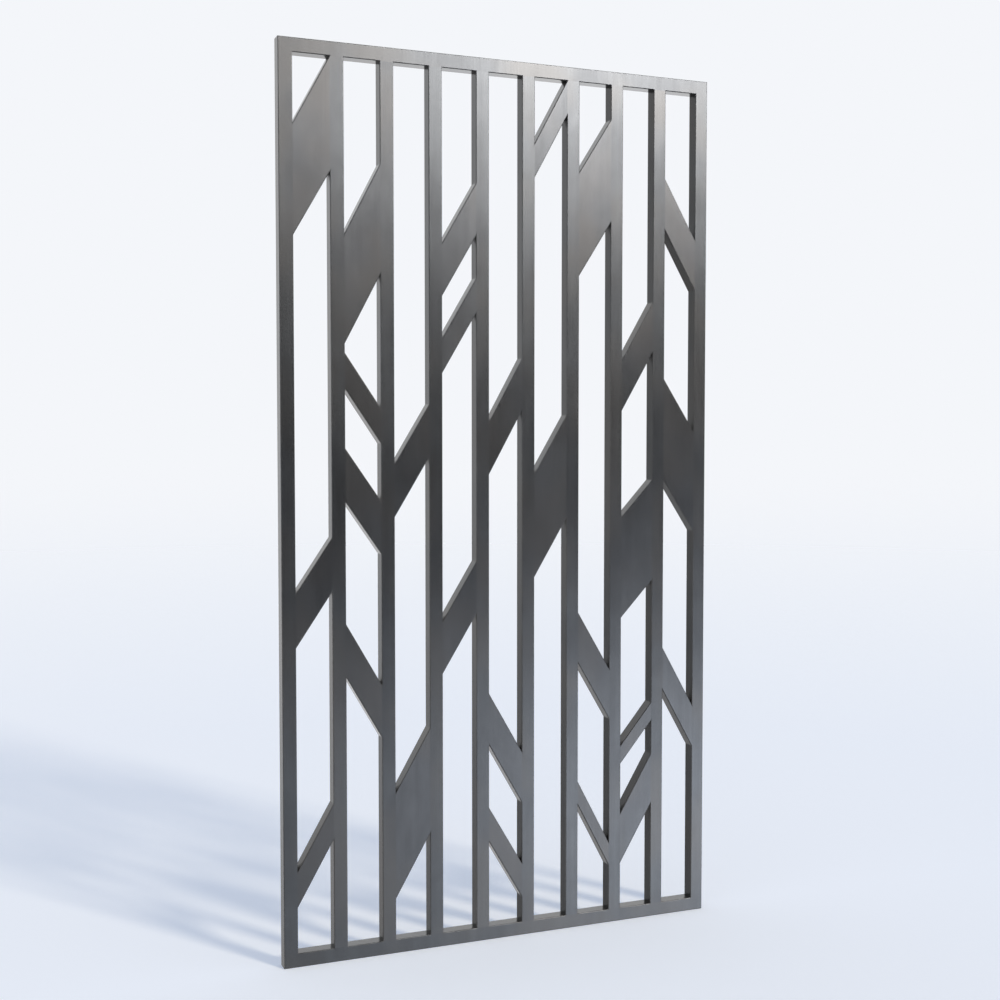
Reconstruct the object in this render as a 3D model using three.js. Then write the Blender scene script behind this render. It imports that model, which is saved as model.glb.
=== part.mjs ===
// Free-standing metal screen: a mitred frame of square tube, eight upright tubes
// and twenty-seven hollow infills with slanted ends, all 30 mm deep and flush.
// Millimetres, +Z up. Front face towards -Y, origin on the floor at the middle.

import * as THREE from 'three';

// ---- driving dimensions -------------------------------------------------
const MEMBER = 30;                 // face width of rails, stiles and uprights
const DEPTH = 30;                  // depth of every member, front to back
const WALL = 2;                    // wall of the square tube and of the infills
const SLOT = 78;                   // clear width of one slot column
const COLUMNS = 9;                 // slot columns between the two stiles
const HEIGHT = 1930;               // overall height

const PITCH = MEMBER + SLOT;                       // 108
const WIDTH = COLUMNS * PITCH + MEMBER;            // 1002
const HALF_W = WIDTH / 2;
const HALF_D = DEPTH / 2;

// Infills by column, counted from the left stile. Each row holds the heights of
// the four front corners: upper left, upper right, lower left, lower right.
const INFILLS = [
  [[1758, 1900, 1530, 1664], [789, 904, 675, 790], [204, 340, 127, 263]],
  [[1538, 1687, 1310, 1457], [1291, 1176, 1216, 1101], [1091, 979, 978, 866], [720, 586, 606, 472]],
  [[1057, 1185, 944, 1072], [350, 485, 119, 254]],
  [[1530, 1662, 1417, 1549], [1327, 1458, 1252, 1383], [716, 843, 601, 728]],
  [[1147, 1287, 1033, 1173], [550, 415, 435, 300], [296, 164, 219, 87]],
  [[1758, 1900, 1683, 1824], [1032, 1163, 803, 933]],
  [[1702, 1824, 1473, 1595], [719, 587, 604, 472], [334, 187, 280, 133]],
  [[1288, 1421, 1174, 1307], [932, 1016, 702, 785], [408, 502, 365, 459], [251, 382, 134, 265]],
  [[1702, 1568, 1586, 1452], [1247, 1127, 1016, 897], [627, 489, 529, 391]],
];

// ---- finishes -----------------------------------------------------------
const steel = (color, roughness) =>
  new THREE.MeshStandardMaterial({ color, roughness, metalness: 0.85 });

// A hollow member between two end planes. Each end is a ring of four outer and
// four inner corners, in the same order round the section, anticlockwise when
// seen along the direction from end a to end b.
function hollowMember(outerA, innerA, outerB, innerB) {
  const points = [...outerA, ...innerA, ...outerB, ...innerB];
  const oa = 0, ia = 4, ob = 8, ib = 12;
  const tris = [];
  const quad = (a, b, c, d) => tris.push(a, b, c, a, c, d);
  for (let i = 0; i < 4; i++) {
    const j = (i + 1) % 4;
    quad(oa + i, oa + j, ob + j, ob + i);       // outer wall
    quad(ia + j, ia + i, ib + i, ib + j);       // inner wall
    quad(oa + j, oa + i, ia + i, ia + j);       // rim at end a
    quad(ob + i, ob + j, ib + j, ib + i);       // rim at end b
  }
  const indexed = new THREE.BufferGeometry();
  indexed.setAttribute('position', new THREE.Float32BufferAttribute(points.flat(), 3));
  indexed.setIndex(tris);
  // Put the faces outwards whichever way round the rings were given.
  let volume = 0;
  for (let t = 0; t < tris.length; t += 3) {
    const [p, q, r] = [points[tris[t]], points[tris[t + 1]], points[tris[t + 2]]];
    volume += p[0] * (q[1] * r[2] - q[2] * r[1])
            - p[1] * (q[0] * r[2] - q[2] * r[0])
            + p[2] * (q[0] * r[1] - q[1] * r[0]);
  }
  if (volume < 0) {
    for (let t = 0; t < tris.length; t += 3) {
      [tris[t + 1], tris[t + 2]] = [tris[t + 2], tris[t + 1]];
    }
    indexed.setIndex(tris);
  }
  const geometry = indexed.toNonIndexed();
  geometry.computeVertexNormals();
  return geometry;
}

// Frame member whose ends are mitred at 45 degrees. u runs along the member and
// v across it, from its outer edge (v = 0) to its inner edge (v = MEMBER).
function mitredMember(length, place) {
  const ring = (end, inset) => {
    const at = (v) => (end === 0 ? v : length - v);
    const near = inset, far = MEMBER - inset, y = HALF_D - inset;
    return [
      place(at(near), near, -y), place(at(near), near, y),
      place(at(far), far, y), place(at(far), far, -y),
    ];
  };
  return hollowMember(ring(0, 0), ring(0, WALL), ring(1, 0), ring(1, WALL));
}

// Upright square tube, cut square at both ends and standing between the rails.
function uprightTube(x0) {
  const ring = (z, inset) => {
    const xa = x0 + inset, xb = x0 + MEMBER - inset, y = HALF_D - inset;
    return [[xa, -y, z], [xb, -y, z], [xb, y, z], [xa, y, z]];
  };
  const z0 = MEMBER, z1 = HEIGHT - MEMBER;
  return hollowMember(ring(z0, 0), ring(z0, WALL), ring(z1, 0), ring(z1, WALL));
}

// Infill between two uprights: front and back cheeks joined by a slanted edge
// above and below, open at the two sides that the uprights close.
function infill(x0, [upL, upR, loL, loR]) {
  const x1 = x0 + SLOT;
  const upRise = WALL * Math.hypot(1, (upR - upL) / SLOT);   // wall measured up the side
  const loRise = WALL * Math.hypot(1, (loR - loL) / SLOT);
  const outer = (x, up, lo) => [[x, -HALF_D, lo], [x, HALF_D, lo], [x, HALF_D, up], [x, -HALF_D, up]];
  const inner = (x, up, lo) => {
    const y = HALF_D - WALL;
    return [[x, -y, lo + loRise], [x, y, lo + loRise], [x, y, up - upRise], [x, -y, up - upRise]];
  };
  return hollowMember(outer(x0, upL, loL), inner(x0, upL, loL), outer(x1, upR, loR), inner(x1, upR, loR));
}

// ---- assembly -----------------------------------------------------------
const screen = new THREE.Group();
const frame = new THREE.Group();
const uprights = new THREE.Group();
const infills = new THREE.Group();
screen.add(frame, uprights, infills);

function piece(group, name, geometry, color, roughness) {
  const mesh = new THREE.Mesh(geometry, steel(color, roughness));
  mesh.name = name;
  group.add(mesh);
}

piece(frame, 'bottom_rail', mitredMember(WIDTH, (u, v, y) => [u - HALF_W, y, v]), 0x585a5c, 0.42);
piece(frame, 'top_rail', mitredMember(WIDTH, (u, v, y) => [u - HALF_W, y, HEIGHT - v]), 0x5b5d5e, 0.42);
piece(frame, 'left_stile', mitredMember(HEIGHT, (u, v, y) => [v - HALF_W, y, u]), 0x575a5b, 0.42);
piece(frame, 'right_stile', mitredMember(HEIGHT, (u, v, y) => [HALF_W - v, y, u]), 0x595b5d, 0.42);

for (let c = 1; c < COLUMNS; c++) {
  piece(uprights, `upright_${c}`, uprightTube(c * PITCH - HALF_W), 0x58595b, 0.44);
}

INFILLS.forEach((column, c) => {
  const x0 = MEMBER + c * PITCH - HALF_W;
  column.forEach((corners, r) => {
    piece(infills, `infill_${c + 1}_${r + 1}`, infill(x0, corners), 0x575858, 0.46);
  });
});

export default screen;
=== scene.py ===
import math

import bmesh
import bpy
from mathutils import Matrix, Vector


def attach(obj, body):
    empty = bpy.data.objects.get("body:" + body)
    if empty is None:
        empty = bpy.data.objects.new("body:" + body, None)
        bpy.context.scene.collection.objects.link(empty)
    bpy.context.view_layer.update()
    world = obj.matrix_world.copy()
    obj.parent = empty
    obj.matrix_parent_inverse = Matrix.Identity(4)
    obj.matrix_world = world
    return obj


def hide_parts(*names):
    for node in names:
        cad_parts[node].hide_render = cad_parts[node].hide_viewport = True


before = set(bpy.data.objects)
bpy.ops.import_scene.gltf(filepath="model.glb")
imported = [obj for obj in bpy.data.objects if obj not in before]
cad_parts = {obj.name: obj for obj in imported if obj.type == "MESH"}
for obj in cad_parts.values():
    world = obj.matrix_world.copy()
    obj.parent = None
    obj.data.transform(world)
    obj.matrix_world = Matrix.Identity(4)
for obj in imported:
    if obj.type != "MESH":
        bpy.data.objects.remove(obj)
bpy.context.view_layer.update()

# ---------------------------------------------------------------------------
# Dimensions, millimetres, as in the CAD. Front face towards -Y.
# ---------------------------------------------------------------------------
MEMBER, DEPTH, SLOT, COLUMNS, HEIGHT = 30.0, 30.0, 78.0, 9, 1930.0
PITCH = MEMBER + SLOT
WIDTH = COLUMNS * PITCH + MEMBER
HW, HD = WIDTH / 2, DEPTH / 2
EDGE = 1.6          # radius of the free edges
STEPS = 6           # facets round that radius

INFILLS = [
    [(1758, 1900, 1530, 1664), (789, 904, 675, 790), (204, 340, 127, 263)],
    [(1538, 1687, 1310, 1457), (1291, 1176, 1216, 1101), (1091, 979, 978, 866), (720, 586, 606, 472)],
    [(1057, 1185, 944, 1072), (350, 485, 119, 254)],
    [(1530, 1662, 1417, 1549), (1327, 1458, 1252, 1383), (716, 843, 601, 728)],
    [(1147, 1287, 1033, 1173), (550, 415, 435, 300), (296, 164, 219, 87)],
    [(1758, 1900, 1683, 1824), (1032, 1163, 803, 933)],
    [(1702, 1824, 1473, 1595), (719, 587, 604, 472), (334, 187, 280, 133)],
    [(1288, 1421, 1174, 1307), (932, 1016, 702, 785), (408, 502, 365, 459), (251, 382, 134, 265)],
    [(1702, 1568, 1586, 1452), (1247, 1127, 1016, 897), (627, 489, 529, 391)],
]


def left_of(c):
    """x of the left side of slot column c."""
    return MEMBER + c * PITCH - HW


def slots_of(c):
    """The slots of column c, top to bottom, as (upper edge, lower edge); an edge is its height at the left and at the right."""
    upper = [(HEIGHT - MEMBER, HEIGHT - MEMBER)] + [(q[2], q[3]) for q in INFILLS[c]]
    lower = [(q[0], q[1]) for q in INFILLS[c]] + [(MEMBER, MEMBER)]
    return list(zip(upper, lower))


# ---------------------------------------------------------------------------
# Outlines. An outline is the piece's edge in X-Z at one depth. d is how far
# the rounded edge has drawn back there from the slot or the outside.
# ---------------------------------------------------------------------------
def line_at(c, edge, shift, x):
    """Height at x of an edge of column c, moved square to itself by shift (up if positive)."""
    slope = (edge[1] - edge[0]) / SLOT
    return edge[0] + slope * (x - left_of(c)) + shift * math.hypot(1.0, slope)


def infill_outline(c, q, d):
    xl = left_of(c)
    xr = xl + SLOT
    up, lo = (q[0], q[1]), (q[2], q[3])
    return [
        (xl, line_at(c, lo, d, xl)), (xr, line_at(c, lo, d, xr)),
        (xr, line_at(c, up, -d, xr)), (xl, line_at(c, up, -d, xl)),
    ]


def side_points(c, right, x, d):
    """Points going up one side of slot column c, at x, as cut into the member beside it.
    right: the side at the column's right, so the member draws back towards +X."""
    inward = d if right else -d
    out = []
    for upper, lower in reversed(slots_of(c)):
        top_rail = upper == (HEIGHT - MEMBER, HEIGHT - MEMBER)
        floor_rail = lower == (MEMBER, MEMBER)
        end = 1 if right else 0
        if upper[end] == lower[end]:          # the slot comes to a point here, under the top rail
            slope = (lower[1] - lower[0]) / SLOT
            run = d * math.hypot(1.0, slope) / slope
            out += [(x, line_at(c, lower, -d, x)), (x + run, upper[end])]
            continue
        if floor_rail:
            out.append((x + inward, MEMBER))
        else:
            out += [(x, line_at(c, lower, -d, x)), (x + inward, line_at(c, lower, -d, x + inward))]
        if top_rail:
            out.append((x + inward, HEIGHT - MEMBER))
        else:
            out += [(x + inward, line_at(c, upper, d, x + inward)), (x, line_at(c, upper, d, x))]
    return out


def upright_outline(i, d):
    """Upright i stands between columns i-1 and i."""
    a = left_of(i) - MEMBER
    b = left_of(i)
    up_right = side_points(i, False, b, d)
    up_left = side_points(i - 1, True, a, d)
    return up_right + up_left[::-1]


def stile_outline(left, d):
    c, x = (0, -HW + MEMBER) if left else (COLUMNS - 1, HW - MEMBER)
    side = side_points(c, not left, x, d)
    s = 1.0 if left else -1.0
    inner_lo = (x - s * d, MEMBER - d)
    inner_hi = (x - s * d, HEIGHT - MEMBER + d)
    if left:
        pts = [(-HW + d, d), inner_lo] + side[1:-1] + [inner_hi, (-HW + d, HEIGHT - d)]
    else:
        pts = [(HW - d, d), (HW - d, HEIGHT - d), inner_hi] + side[1:-1][::-1] + [inner_lo]
    return pts


def rail_outline(top, d):
    edge = HEIGHT - MEMBER if top else MEMBER
    up = d if top else -d
    pts = []
    for c in range(COLUMNS):
        xl = left_of(c)
        xr = xl + SLOT
        (upper, lower) = slots_of(c)[0 if top else -1]
        vl, vr, al, ar = xl - d, xr + d, xl - d, xr + d
        if upper[1] == lower[1]:
            slope = (lower[1] - lower[0]) / SLOT
            ar = xr + d * math.hypot(1.0, slope) / slope
            vr = ar + d / slope
        if c > 0:
            pts.append((al, edge))
        pts += [(vl, edge + up), (vr, edge + up)]
        if c < COLUMNS - 1:
            pts.append((ar, edge))
    if top:
        return pts + [(HW - d, HEIGHT - d), (-HW + d, HEIGHT - d)]
    return [(-HW + d, d), (HW - d, d)] + pts[::-1]


# ---------------------------------------------------------------------------
# Solid from outlines stacked through the depth
# ---------------------------------------------------------------------------
def layers():
    """(y, d) from the front face to the back face; d is full on the faces and nothing on the walls between."""
    front = []
    for k in range(STEPS + 1):
        a = math.pi / 2 * k / STEPS
        front.append((-HD + EDGE * (1 - math.cos(a)), EDGE * (1 - math.sin(a))))
    return front + [(-y, d) for y, d in reversed(front)]


def stacked(name, outline, tone):
    bm = bmesh.new()
    rings = []
    for y, d in layers():
        ring, seen = [], {}
        for x, z in outline(d):
            key = (round(x, 5), round(z, 5))
            if key not in seen:
                seen[key] = bm.verts.new((x / 1000, y / 1000, z / 1000))
            ring.append(seen[key])
        rings.append(ring)
    count = len(rings[0])
    n_layers = len(rings)
    for k in range(n_layers - 1):
        for i in range(count):
            j = (i + 1) % count
            loop = [rings[k][i], rings[k][j], rings[k + 1][j], rings[k + 1][i]]
            loop = [v for n, v in enumerate(loop) if v not in loop[:n]]
            if len(loop) > 2:
                bm.faces.new(loop)
    for ring in (rings[0], rings[-1]):
        loop = []
        for v in ring:
            if v not in loop:
                loop.append(v)
        bm.faces.new(loop)
    bmesh.ops.recalc_face_normals(bm, faces=bm.faces)
    mesh = bpy.data.meshes.new(name)
    bm.to_mesh(mesh)
    bm.free()
    layer = mesh.attributes.new("tone", "FLOAT", "POINT")
    for v in layer.data:
        v.value = tone
    obj = bpy.data.objects.new(name, mesh)
    bpy.context.scene.collection.objects.link(obj)
    return obj


# ---------------------------------------------------------------------------
# Materials
# ---------------------------------------------------------------------------
class Nodes:
    def __init__(self, tree):
        self.tree = tree
        tree.nodes.clear()

    def add(self, kind, **values):
        node = self.tree.nodes.new(kind)
        for key, value in values.items():
            if hasattr(node, key) and not isinstance(value, bpy.types.NodeSocket) and key in node.bl_rna.properties:
                setattr(node, key, value)
        return node

    def link(self, a, b):
        self.tree.links.new(a, b)

    def math(self, op, a, b=None, clamp=False):
        node = self.tree.nodes.new("ShaderNodeMath")
        node.operation = op
        node.use_clamp = clamp
        for i, v in enumerate((a, b)):
            if v is None:
                continue
            if isinstance(v, bpy.types.NodeSocket):
                self.link(v, node.inputs[i])
            else:
                node.inputs[i].default_value = v
        return node.outputs[0]

    def noise(self, vector, scale, detail=2.0, rough=0.5, distortion=0.0):
        node = self.tree.nodes.new("ShaderNodeTexNoise")
        node.inputs["Scale"].default_value = scale
        node.inputs["Detail"].default_value = detail
        node.inputs["Roughness"].default_value = rough
        node.inputs["Distortion"].default_value = distortion
        self.link(vector, node.inputs["Vector"])
        return node.outputs["Fac"]

    def mapping(self, vector, scale=(1, 1, 1), location=(0, 0, 0)):
        node = self.tree.nodes.new("ShaderNodeMapping")
        node.inputs["Scale"].default_value = scale
        node.inputs["Location"].default_value = location
        self.link(vector, node.inputs["Vector"])
        return node.outputs["Vector"]

    def range(self, value, a, b, c, d, smooth=False):
        node = self.tree.nodes.new("ShaderNodeMapRange")
        node.interpolation_type = "SMOOTHSTEP" if smooth else "LINEAR"
        for key, v in zip(("From Min", "From Max", "To Min", "To Max"), (a, b, c, d)):
            node.inputs[key].default_value = v
        self.link(value, node.inputs["Value"])
        return node.outputs["Result"]

    def mix(self, fac, a, b, blend="MIX"):
        node = self.tree.nodes.new("ShaderNodeMix")
        node.data_type = "RGBA"
        node.blend_type = blend
        node.clamp_factor = True
        if isinstance(fac, bpy.types.NodeSocket):
            self.link(fac, node.inputs["Factor"])
        else:
            node.inputs["Factor"].default_value = fac
        for socket, v in ((node.inputs[6], a), (node.inputs[7], b)):
            if isinstance(v, bpy.types.NodeSocket):
                self.link(v, socket)
            else:
                socket.default_value = (*v, 1.0)
        return node.outputs[2]


def blackened_steel(name, dark, light, rough):
    m = bpy.data.materials.new(name)
    m.use_nodes = True
    n = Nodes(m.node_tree)
    out = n.add("ShaderNodeOutputMaterial")
    bsdf = n.add("ShaderNodeBsdfPrincipled")
    n.link(bsdf.outputs["BSDF"], out.inputs["Surface"])
    bsdf.inputs["Metallic"].default_value = 1.0
    coord = n.add("ShaderNodeTexCoord").outputs["Object"]
    tone = n.add("ShaderNodeAttribute", attribute_name="tone").outputs["Fac"]

    # broad mottling of the patina, shifted from piece to piece by its tone
    shift = n.tree.nodes.new("ShaderNodeCombineXYZ")
    n.link(n.math("MULTIPLY", tone, 3.7), shift.inputs[0])
    n.link(n.math("MULTIPLY", tone, 5.3), shift.inputs[2])
    moved = n.tree.nodes.new("ShaderNodeVectorMath")
    moved.operation = "ADD"
    n.link(coord, moved.inputs[0])
    n.link(shift.outputs[0], moved.inputs[1])
    moved = moved.outputs[0]
    cloud = n.noise(n.mapping(moved, (1, 1, 0.55)), 7.0, 3.0, 0.55, 0.4)
    blotch = n.noise(n.mapping(moved, (1, 1, 0.7)), 21.0, 3.0, 0.6, 0.8)
    # fine grain left by rolling, running up the piece
    grain = n.noise(n.mapping(moved, (420.0, 420.0, 9.0)), 1.0, 3.0, 0.6)
    streak = n.noise(n.mapping(moved, (60.0, 60.0, 1.6)), 1.0, 2.0, 0.5)

    shade = n.math("ADD", n.math("MULTIPLY", cloud, 0.55), n.math("MULTIPLY", blotch, 0.25))
    shade = n.math("ADD", shade, n.math("MULTIPLY", streak, 0.20))
    shade = n.range(shade, 0.36, 0.64, 0.0, 1.0, True)
    colour = n.mix(shade, dark, light)
    warm = n.range(n.noise(n.mapping(moved, (1, 1, 0.8)), 4.3, 2.0, 0.5), 0.42, 0.62, 0.0, 1.0, True)
    colour = n.mix(n.math("MULTIPLY", warm, 0.6), colour, tuple(v * k for v, k in zip(light, (1.05, 0.98, 0.91))))
    # each piece is a slightly different tone
    per_piece = n.range(tone, 0.0, 1.0, 0.94, 1.06)
    gain = n.tree.nodes.new("ShaderNodeCombineColor")
    for i in range(3):
        n.link(per_piece, gain.inputs[i])
    colour = n.mix(1.0, colour, gain.outputs[0], "MULTIPLY")
    n.link(colour, bsdf.inputs["Base Color"])

    r = n.math("ADD", n.range(cloud, 0.3, 0.7, rough - 0.010, rough + 0.010), n.range(grain, 0.3, 0.7, -0.012, 0.012))
    n.link(r, bsdf.inputs["Roughness"])

    bump = n.tree.nodes.new("ShaderNodeBump")
    bump.inputs["Strength"].default_value = 0.12
    bump.inputs["Distance"].default_value = 0.0002
    n.link(grain, bump.inputs["Height"])
    n.link(bump.outputs["Normal"], bsdf.inputs["Normal"])
    return m


MATERIALS = {
    "frame_steel": blackened_steel("frame_steel", (0.089, 0.090, 0.091), (0.114, 0.116, 0.117), 0.25),
    "upright_steel": blackened_steel("upright_steel", (0.089, 0.090, 0.091), (0.114, 0.116, 0.117), 0.25),
    "infill_steel": blackened_steel("infill_steel", (0.087, 0.088, 0.089), (0.114, 0.115, 0.116), 0.25),
}


def finish_piece(obj, node, material):
    obj.data.materials.append(MATERIALS[material])
    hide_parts(node)
    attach(obj, "root")


def tone_of(i):
    """A fixed spread of tones from 0 to 1."""
    return (i * 0.61803398875 + 0.21) % 1.0


index = 0
for node, outline in (
    ("bottom_rail", lambda d: rail_outline(False, d)),
    ("top_rail", lambda d: rail_outline(True, d)),
    ("left_stile", lambda d: stile_outline(True, d)),
    ("right_stile", lambda d: stile_outline(False, d)),
):
    finish_piece(stacked("visible_" + node, outline, 0.5), node, "frame_steel")
for i in range(1, COLUMNS):
    index += 1
    finish_piece(stacked("visible_upright_%d" % i, lambda d: upright_outline(i, d), tone_of(index)), "upright_%d" % i, "upright_steel")
for c, column in enumerate(INFILLS):
    for r, q in enumerate(column):
        index += 1
        finish_piece(stacked("visible_infill_%d_%d" % (c + 1, r + 1), lambda d: infill_outline(c, q, d), tone_of(index)), "infill_%d_%d" % (c + 1, r + 1), "infill_steel")

# ---------------------------------------------------------------------------
# Floor, light and camera
# ---------------------------------------------------------------------------
BACKDROP = (0.905, 0.922, 0.956)      # what the camera sees behind the object
FLOOR = (0.785, 0.804, 0.840)
GLOW = (0.222, 0.250, 0.304)
FADE = (2.5, 7.0)                     # the floor turns into the backdrop from the first distance, ever slower over the second


def toward(azimuth, elevation):
    """Direction from the object: azimuth in degrees to the right of straight ahead (-Y), elevation above the floor."""
    a, e = math.radians(azimuth), math.radians(elevation)
    return (math.sin(a) * math.cos(e), -math.cos(a) * math.cos(e), math.sin(e))


def cone(azimuth, elevation, inner, outer, colour):
    """Soft round patch of light in the room: full inside the inner half-angle, gone at the outer one."""
    return (toward(azimuth, elevation), math.cos(math.radians(outer)), math.cos(math.radians(inner)), colour)


# Light of the room by direction: (axis, from, to, colour); each term rises
# smoothly from nothing to its colour as direction . axis goes from one to the other.
ROOM = [
    # the lit floor in front of the object, below the horizon
    cone(20, -30, 2.0, 14.0, (0.94, 1.01, 1.14)),
    cone(34, -20, 2.0, 14.0, (0.91, 0.98, 1.11)),
    cone(12, -15, 1.5, 7.0, (1.32, 1.42, 1.60)),
    cone(24, -15, 1.5, 7.0, (2.13, 2.29, 2.59)),
    cone(24, -10, 1.5, 7.0, (0.57, 0.61, 0.69)),
    cone(36, -15, 1.5, 7.0, (3.49, 3.75, 4.24)),
    cone(36, -10, 1.5, 7.0, (1.50, 1.61, 1.82)),
    # softbox at the upper right, with its glow around it
    cone(20, 12, 2.0, 14.0, (0.24, 0.24, 0.24)),
    cone(20, 20, 2.0, 14.0, (2.12, 2.12, 2.16)),
    cone(34, 12, 2.0, 14.0, (0.11, 0.11, 0.11)),
    cone(34, 20, 2.0, 14.0, (3.44, 3.44, 3.51)),
    cone(27, 24, 3.0, 10.0, (3.07, 3.07, 3.13)),
    cone(12, 13, 1.5, 7.0, (1.14, 1.14, 1.16)),
    cone(24, 17, 1.5, 7.0, (8.54, 8.54, 8.71)),
    cone(36, 17, 1.5, 7.0, (8.25, 8.25, 8.42)),
    # pale backdrop behind the object
    cone(168, 8, 22.0, 45.0, (1.17, 1.18, 1.20)),
    cone(168, -22, 10.0, 35.0, (0.28, 0.28, 0.29)),
    cone(150, -14, 4.0, 16.0, (0.44, 0.44, 0.45)),
    # pale walls, ceiling and floor all round
    ((-1.0, 0.0, 0.0), 0.2, 0.9, (0.70, 0.71, 0.74)),
    cone(270, -25, 10.0, 45.0, (0.35, 0.35, 0.37)),
    ((0.0, 0.0, -1.0), 0.15, 0.7, (0.24, 0.245, 0.25)),
    # small bright lamp that glints in the edges; placed higher than the key light
    cone(29, 38, 2.0, 5.0, (70.0, 70.0, 69.0)),
    # pale walls ahead on the left and on the right
    cone(-24, 5, 8.0, 28.0, (1.05, 1.05, 1.08)),
    cone(92, 6, 20.0, 52.0, (0.90, 0.90, 0.93)),
    # a dim ceiling
    ((0.0, 0.0, 1.0), 0.5, 0.98, (0.40, 0.40, 0.41)),
]
LIGHTS = [
]
SUNS = [
    # azimuth, elevation, angle across, strength, colour
    (30.3, 27.2, 9.0, 1.97, (1.0, 0.885, 0.673)),        # key
    (0.0, 90.0, 120.0, 1.70, (0.782, 0.859, 1.0)),        # soft light from above
]


def make_floor():
    radius = 60.0
    mesh = bpy.data.meshes.new("floor")
    bm = bmesh.new()
    bmesh.ops.create_circle(bm, cap_ends=True, segments=96, radius=radius)
    bm.to_mesh(mesh)
    bm.free()
    obj = bpy.data.objects.new("floor", mesh)
    bpy.context.scene.collection.objects.link(obj)
    m = bpy.data.materials.new("floor")
    m.use_nodes = True
    n = Nodes(m.node_tree)
    out = n.add("ShaderNodeOutputMaterial")
    bsdf = n.add("ShaderNodeBsdfDiffuse")
    bsdf.inputs["Color"].default_value = (*FLOOR, 1.0)
    # light scattered over the floor by the whole room, which the object hardly shades
    glow = n.add("ShaderNodeEmission")
    glow.inputs["Color"].default_value = (*GLOW, 1.0)
    lit = n.add("ShaderNodeAddShader")
    n.link(bsdf.outputs[0], lit.inputs[0])
    n.link(glow.outputs[0], lit.inputs[1])
    clear = n.add("ShaderNodeBsdfTransparent")
    # far from the object the floor fades into the backdrop, so no horizon shows
    length = n.tree.nodes.new("ShaderNodeVectorMath")
    length.operation = "LENGTH"
    n.link(n.add("ShaderNodeTexCoord").outputs["Object"], length.inputs[0])
    beyond = n.math("MAXIMUM", n.math("SUBTRACT", length.outputs["Value"], FADE[0]), 0.0)
    fade = n.math("SUBTRACT", 1.0, n.math("EXPONENT", n.math("MULTIPLY", beyond, -1.0 / FADE[1])))
    mixer = n.add("ShaderNodeMixShader")
    n.link(fade, mixer.inputs[0])
    n.link(lit.outputs[0], mixer.inputs[1])
    n.link(clear.outputs[0], mixer.inputs[2])
    n.link(mixer.outputs[0], out.inputs["Surface"])
    obj.data.materials.append(m)
    obj.visible_glossy = False
    obj.visible_shadow = False
    return obj


def make_world():
    """The plain backdrop for the camera, and the room with its soft lights for reflections."""
    world = bpy.data.worlds.new("studio")
    bpy.context.scene.world = world
    world.use_nodes = True
    n = Nodes(world.node_tree)
    out = n.add("ShaderNodeOutputWorld")
    seen = n.add("ShaderNodeBackground")
    seen.inputs["Color"].default_value = (*BACKDROP, 1.0)
    room = n.add("ShaderNodeBackground")
    direction = n.add("ShaderNodeTexCoord").outputs["Generated"]
    total = None
    for axis, start, end, colour in ROOM:
        dot = n.tree.nodes.new("ShaderNodeVectorMath")
        dot.operation = "DOT_PRODUCT"
        n.link(direction, dot.inputs[0])
        dot.inputs[1].default_value = axis
        share = n.range(dot.outputs["Value"], start, end, 0.0, 1.0, True)
        scaled = n.tree.nodes.new("ShaderNodeVectorMath")
        scaled.operation = "SCALE"
        scaled.inputs[0].default_value = colour
        n.link(share, scaled.inputs["Scale"])
        if total is None:
            total = scaled.outputs[0]
        else:
            add = n.tree.nodes.new("ShaderNodeVectorMath")
            add.operation = "ADD"
            n.link(total, add.inputs[0])
            n.link(scaled.outputs[0], add.inputs[1])
            total = add.outputs[0]
    if total is None:
        room.inputs["Color"].default_value = (0.0, 0.0, 0.0, 1.0)
    else:
        n.link(total, room.inputs["Color"])
    path = n.add("ShaderNodeLightPath")
    mixer = n.add("ShaderNodeMixShader")
    n.link(path.outputs["Is Camera Ray"], mixer.inputs[0])
    n.link(room.outputs[0], mixer.inputs[1])
    n.link(seen.outputs[0], mixer.inputs[2])
    n.link(mixer.outputs[0], out.inputs["Surface"])
    world.cycles_visibility.diffuse = False


def softbox(name, place, target, size, power, colour):
    """Rectangular area light turned to face its target."""
    data = bpy.data.lights.new(name, "AREA")
    data.shape = "RECTANGLE"
    data.size, data.size_y = size
    data.energy = power
    data.color = colour
    obj = bpy.data.objects.new(name, data)
    bpy.context.scene.collection.objects.link(obj)
    obj.location = place
    obj.rotation_euler = (Vector(target) - Vector(place)).to_track_quat("-Z", "Y").to_euler()
    obj.visible_camera = False
    obj.visible_diffuse = False
    return obj


def distant_light(name, azimuth, elevation, across, strength, colour):
    """Distant light on the floor; across is the angle it fills, in degrees, which sets how soft its shadows are."""
    data = bpy.data.lights.new(name, "SUN")
    data.angle = math.radians(across)
    data.energy = strength
    data.color = colour
    obj = bpy.data.objects.new(name, data)
    bpy.context.scene.collection.objects.link(obj)
    way = Vector(toward(azimuth, elevation))
    obj.location = way * 6.0
    obj.rotation_euler = (-way).to_track_quat("-Z", "Y").to_euler()
    obj.visible_glossy = False
    return obj


def make_camera():
    data = bpy.data.cameras.new("camera")
    data.lens = 50.0
    data.sensor_width = 36.0
    data.clip_start, data.clip_end = 0.05, 200.0
    obj = bpy.data.objects.new("camera", data)
    bpy.context.scene.collection.objects.link(obj)
    obj.location = (-1.15618, -2.83643, 1.12059)
    obj.rotation_euler = (math.radians(90.0 - 2.708), 0.0, math.radians(-22.047))
    bpy.context.scene.camera = obj
    return obj


make_floor()
make_world()
for i, light in enumerate(LIGHTS):
    softbox("softbox_%d" % (i + 1), *light)
for i, light in enumerate(SUNS):
    distant_light("distant_%d" % (i + 1), *light)
make_camera()

bpy.context.scene.view_settings.view_transform = "Standard"
bpy.context.scene.view_settings.look = "None"
